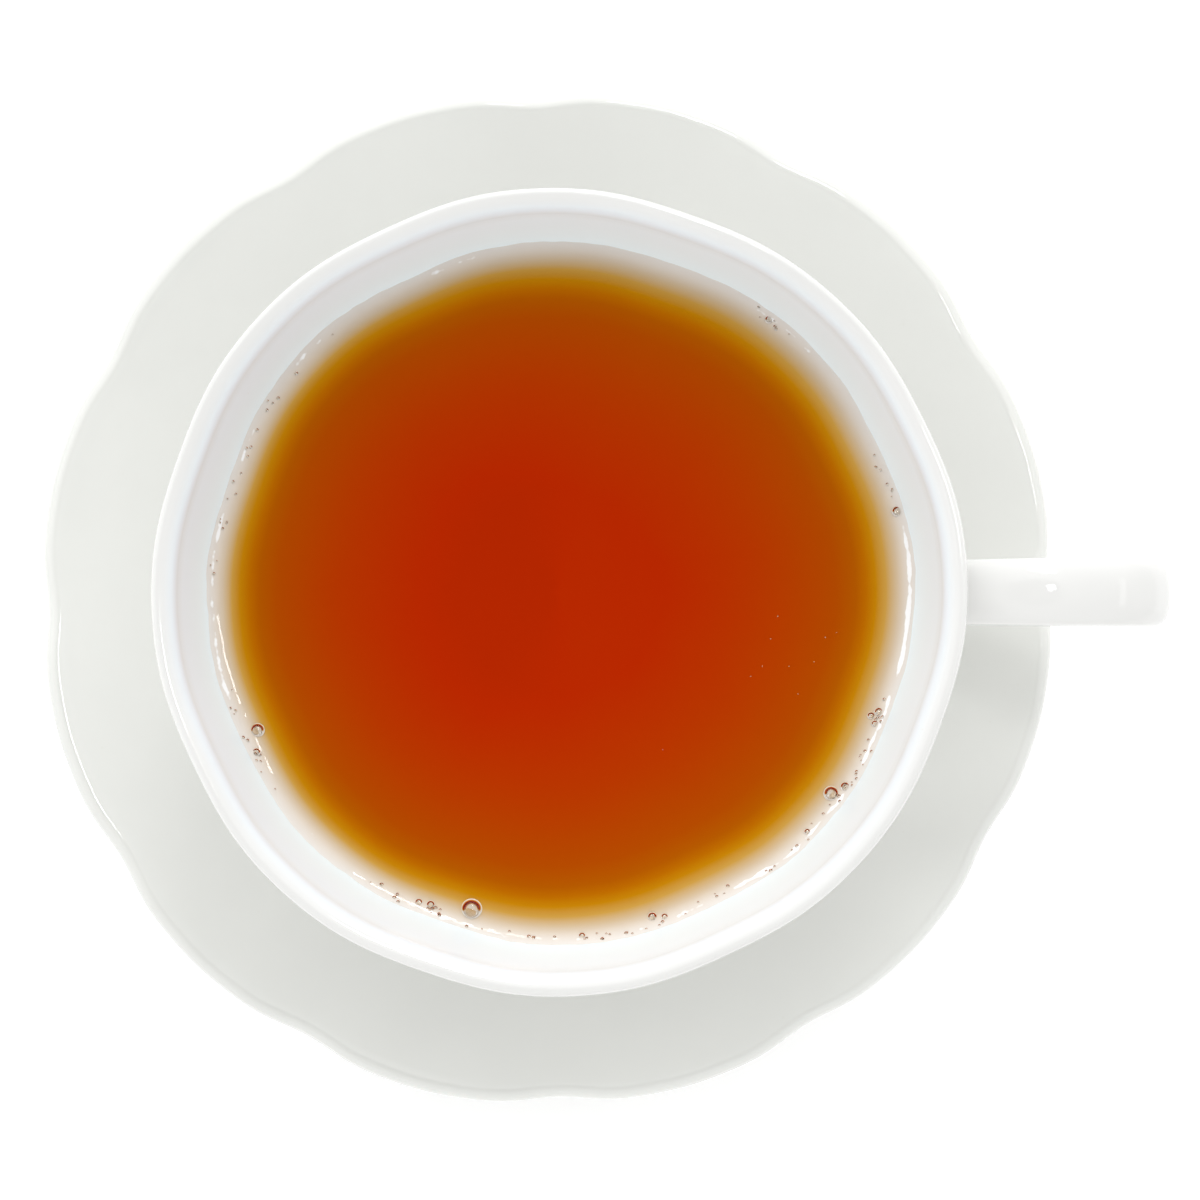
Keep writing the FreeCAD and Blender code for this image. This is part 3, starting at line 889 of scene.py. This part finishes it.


def tea_material(name, roughness):
    """Clear brown tea: its colour deepens with the depth below the surface, with a painted
    highlight, painted light and painted shade on it.
    """
    shades = Shades(name)
    depth = shades.node("ShaderNodeAttribute", attribute_name="depth").outputs["Fac"]
    where = shades.node("ShaderNodeTexCoord").outputs["Object"]
    swirl = shades.node("ShaderNodeTexNoise", Scale=55.0, Detail=3.0, Roughness=0.55,
                        Distortion=0.8)
    shades.link(where, swirl.inputs["Vector"])
    # Faint swirls: the depth that sets the colour sways by a few per cent.
    sway = shades.node("ShaderNodeMath", operation="MULTIPLY_ADD")
    sway.inputs[1].default_value = 0.05
    sway.inputs[2].default_value = 0.975
    shades.link(swirl.outputs["Fac"], sway.inputs[0])
    uneven = shades.node("ShaderNodeMath", operation="MULTIPLY")
    shades.link(depth, uneven.inputs[0])
    shades.link(sway.outputs[0], uneven.inputs[1])
    share = shades.node("ShaderNodeMath", operation="DIVIDE")
    share.inputs[1].default_value = TEA_DEEPEST * MM
    shades.link(uneven.outputs[0], share.inputs[0])
    stops = [(deep / TEA_DEEPEST, linear(shade)) for deep, shade in TEA_SHADES]
    # The dark brown last stop serves the painted shade of the bubbles' arcs.
    stops.append((1.0, linear((96, 20, 2))))
    body = shades.ramp(share.outputs[0], stops)
    gleam = shades.node("ShaderNodeAttribute", attribute_name="gleam").outputs["Fac"]
    # The painted highlight and froth along the edge, broken up by fine noise.
    ragged = shades.node("ShaderNodeTexNoise", Scale=520.0, Detail=2.0, Roughness=0.6)
    shades.link(where, ragged.inputs["Vector"])
    broken = shades.node("ShaderNodeMath", operation="MULTIPLY_ADD")
    broken.inputs[1].default_value = 2.8
    shades.link(ragged.outputs["Fac"], broken.inputs[0])
    shifted = shades.node("ShaderNodeMath", operation="MULTIPLY_ADD")
    shifted.inputs[1].default_value = 1.7
    shifted.inputs[2].default_value = -2.1
    shades.link(gleam, shifted.inputs[0])
    shades.link(shifted.outputs[0], broken.inputs[2])
    mask = shades.ramp(broken.outputs[0], [(0.1, grey(0)), (0.45, grey(1))])
    lit = shades.node("ShaderNodeMixRGB", Color2=(0.97, 0.96, 0.95, 1.0))
    shades.link(mask.outputs["Color"], lit.inputs["Fac"])
    shades.link(body.outputs["Color"], lit.inputs["Color1"])
    # Painted light and shade: the colour is brighter at the -Y side and darker at the +Y side, for
    # porcelain under the tea lit more strongly at the -Y side.
    across = shades.node("ShaderNodeSeparateXYZ")
    shades.link(where, across.inputs[0])
    painted_light_scale = shades.node("ShaderNodeMapRange")
    for key, value in (("From Min", -46 * MM), ("From Max", 46 * MM),
                       ("To Min", TEA_PAINTED_LIT_TONE), ("To Max", TEA_PAINTED_SHADE_TONE)):
        painted_light_scale.inputs[key].default_value = value
    shades.link(across.outputs["Y"], painted_light_scale.inputs["Value"])
    toned = shades.node("ShaderNodeVectorMath", operation="SCALE")
    shades.link(lit.outputs["Color"], toned.inputs[0])
    shades.link(painted_light_scale.outputs["Result"], toned.inputs["Scale"])
    shades.link(toned.outputs["Vector"], shades.surface.inputs["Base Color"])
    shades.socket("Roughness", roughness)
    shades.socket("IOR", 1.33)
    return shades.material


def film_material():
    """The clear film of a bubble, with a trace of colour that varies over it."""
    shades = Shades("bubble_film")
    where = shades.node("ShaderNodeTexCoord").outputs["Object"]
    patch = shades.node("ShaderNodeTexNoise", Scale=900.0, Detail=1.0)
    shades.link(where, patch.inputs["Vector"])
    tint = shades.ramp(patch.outputs["Fac"], [(0.3, linear((250, 246, 240))),
                                              (0.7, linear((255, 252, 246)))])
    shades.link(tint.outputs["Color"], shades.surface.inputs["Base Color"])
    shades.socket("Transmission Weight", 1.0)
    shades.socket("Roughness", 0.0)
    shades.socket("IOR", 1.33)
    return shades.material


def floor_material():
    """White paper with a faint grain, and a faint glow that keeps it white under the shadow."""
    shades = Shades("floor_paper")
    where = shades.node("ShaderNodeTexCoord").outputs["Object"]
    grain = shades.node("ShaderNodeTexNoise", Scale=14.0, Detail=2.0)
    shades.link(where, grain.inputs["Vector"])
    tone = shades.ramp(grain.outputs["Fac"], [(0.3, grey(0.93)), (0.7, grey(0.95))])
    shades.link(tone.outputs["Color"], shades.surface.inputs["Base Color"])
    shades.socket("Roughness", 0.9)
    shades.link(tone.outputs["Color"], shades.surface.inputs["Emission Color"])
    shades.socket("Emission Strength", FLOOR_GLOW)
    return shades.material


# ---------------------------------------------------------------- light
def direction(azimuth, zenith):
    """Unit vector towards a part of the sky, from angles in degrees."""
    a = math.radians(azimuth)
    z = math.radians(zenith)
    return Vector((math.sin(z) * math.cos(a), math.sin(z) * math.sin(a), math.cos(z)))


def add_softbox(name, azimuth, zenith, distance, wide, long, power):
    """A soft lamp in a direction seen from the cup, facing it; long lies across the direction."""
    data = bpy.data.lights.new(name, "AREA")
    data.shape = "RECTANGLE"
    data.size = wide
    data.size_y = long
    data.energy = power
    lamp = bpy.data.objects.new(name, data)
    bpy.context.scene.collection.objects.link(lamp)
    a = math.radians(azimuth)
    towards = direction(azimuth, zenith)
    target = Vector((CUP_AXIS_X, 0.0, CUP_HIGH.z))
    across = Vector((-math.sin(a), math.cos(a), 0.0))
    up = towards.cross(across)
    turn = Matrix((up, across, towards)).transposed().to_4x4()
    lamp.matrix_world = Matrix.Translation(target + towards * distance) @ turn
    return lamp


# Lamps: azimuth, zenith angle, distance, width, length, power. Some only light reflections.
LAMPS = {
    "key": (80, 42, 1.0, 0.16, 0.22, 1.0),
    "key_sparkle": (70, 35, 1.0, 0.12, 0.16, 1.2),
    "left_strip": (180, 58, 0.9, 0.10, 0.9, 0.25),
    "right_strip": (0, 58, 0.9, 0.07, 0.45, 0.12),
    "handle_sparkle": (20, 14, 1.0, 0.09, 0.09, 0.5),
}
ONLY_REFLECTED = ("key_sparkle", "left_strip", "handle_sparkle")
# Brightness of the sky by the sine of the elevation. Straight up it is dark, so that the flat
# tea mirrors nothing.
SKY = [(0.0, 1.15), (0.4, 1.3), (0.68, 0.85), (0.93, 0.6), (0.975, 0.02)]
SKY_ROOF = [(0.945, 1.0), (0.975, 0.0)]
# Broad glows in the sky: towards, cosine at which the glow starts, its brightness in the middle.
GLOWS = [
    (direction(92, 50), 0.35, 1.666),
    (Vector((0.0883, -0.8829, 0.4695)), 0.5, 0.95),
    (Vector((-0.95, -0.1, 0.29)), 0.64, 0.6),
]
GLOW_FULL = 0.95
SKY_STRENGTH = 0.665


def add_lights():
    for name, measures in LAMPS.items():
        add_softbox(name, *measures).visible_diffuse = name not in ONLY_REFLECTED
    world = bpy.data.worlds.new("studio")
    bpy.context.scene.world = world
    world.use_nodes = True
    sky = Nodes(world.node_tree)
    where = sky.node("ShaderNodeTexCoord").outputs["Generated"]
    split = sky.node("ShaderNodeSeparateXYZ")
    sky.link(where, split.inputs[0])
    light = sky.ramp(split.outputs["Z"], [(place, grey(tone)) for place, tone in SKY])
    light = light.outputs["Color"]
    for towards, start, tone in GLOWS:
        facing = sky.node("ShaderNodeVectorMath", operation="DOT_PRODUCT")
        facing.inputs[1].default_value = towards
        sky.link(where, facing.inputs[0])
        glow = sky.ramp(facing.outputs["Value"], [(start, grey(0)), (GLOW_FULL, grey(tone))])
        light = sky.mix("ADD", light, glow.outputs["Color"])
    roof = sky.ramp(split.outputs["Z"], [(place, grey(tone)) for place, tone in SKY_ROOF])
    light = sky.mix("MULTIPLY", light, roof.outputs["Color"])
    background = sky.tree.nodes["Background"]
    sky.link(light, background.inputs["Color"])
    background.inputs["Strength"].default_value = SKY_STRENGTH


def add_floor():
    size = FLOOR_HALF
    mesh = bpy.data.meshes.new("floor")
    corners = [(-size, -size, 0), (size, -size, 0), (size, size, 0), (-size, size, 0)]
    mesh.from_pydata(corners, [], [(0, 1, 2, 3)])
    mesh.materials.append(floor_material())
    floor = bpy.data.objects.new("floor", mesh)
    bpy.context.scene.collection.objects.link(floor)


# ---------------------------------------------------------------- pieces
def outward(piece):
    """Turns every face outwards."""
    shape = bmesh.new()
    shape.from_mesh(piece.data)
    bmesh.ops.recalc_face_normals(shape, faces=shape.faces)
    shape.to_mesh(piece.data)
    shape.free()
    piece.data.update()


def store(piece, name, values):
    """Gives each point of a piece a value that its material reads."""
    layer = piece.data.attributes.new(name, "FLOAT", "POINT")
    layer.data.foreach_set("value", values)


def make_cup():
    # The inside colour is painted light: the bowl's inside is lighter and bluer than its outside.
    glaze = porcelain("cup_glaze", (229, 229, 227), (226, 226, 224), inside=(237, 248, 252))
    section = cup_section()
    points, faces = ring_mesh(section, CUP_COLUMNS, cup_point)
    crest = max(range(len(section)), key=lambda row: section[row].y)
    # Share of the painted light inside the bowl, full from a little below the lip's crest.
    painted_light_within = []
    for row, spot in enumerate(section):
        share = 0.0
        if row <= crest:
            share = smoothstep((CUP_HEIGHT - spot.y) / INSIDE_PAINTED_LIGHT_FADE)
        painted_light_within += [share] * CUP_COLUMNS
    painted_light_within += [0.0] * (len(points) - len(painted_light_within))
    more_points, more_faces = handle_mesh()
    painted_light_within += [0.0] * len(more_points)
    first = len(points)
    points += more_points
    faces += [tuple(index + first for index in face) for face in more_faces]
    cup = add_piece("cup_porcelain", points, faces, glaze)
    store(cup, "painted_light_within", painted_light_within)
    outward(cup)
    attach(cup, "root")
    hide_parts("cup")


def make_saucer():
    drips = [
        (Vector((-47.5 * MM, -38.5 * MM, 12.5 * MM)), 0.9 * MM, (226, 222, 196), 0.5),
        (Vector((57.5 * MM, -27.5 * MM, 13.5 * MM)), 1.3 * MM, (226, 221, 196), 0.6),
        (Vector((-14.0 * MM, -61.0 * MM, 14.0 * MM)), 0.8 * MM, (226, 222, 200), 0.4),
    ]
    glaze = porcelain("saucer_glaze", (228, 229, 225), (225, 226, 222), drips)
    points, faces = ring_mesh(saucer_section(), SAUCER_COLUMNS, saucer_point)
    saucer = add_piece("saucer_porcelain", points, faces, glaze)
    outward(saucer)
    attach(saucer, "root")
    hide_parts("saucer")


def make_tea():
    points, faces, depths, gleams = tea_mesh()
    tea = add_piece("tea_liquid", points, faces, tea_material("black_tea", 0.03))
    store(tea, "depth", depths)
    store(tea, "gleam", gleams)
    outward(tea)
    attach(tea, "root")
    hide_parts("tea")
    domes, rings = bubble_meshes()
    film = add_piece("bubble_films", domes[0], domes[1], film_material())
    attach(film, "root")
    ring = add_piece("bubble_rings", rings[0], rings[1], tea_material("bubble_rim_tea", 0.05))
    store(ring, "depth", rings[2])
    store(ring, "gleam", rings[3])
    outward(ring)
    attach(ring, "root")


add_camera()
add_lights()
add_floor()
make_cup()
make_saucer()
make_tea()
bpy.context.scene.view_settings.view_transform = "Standard"
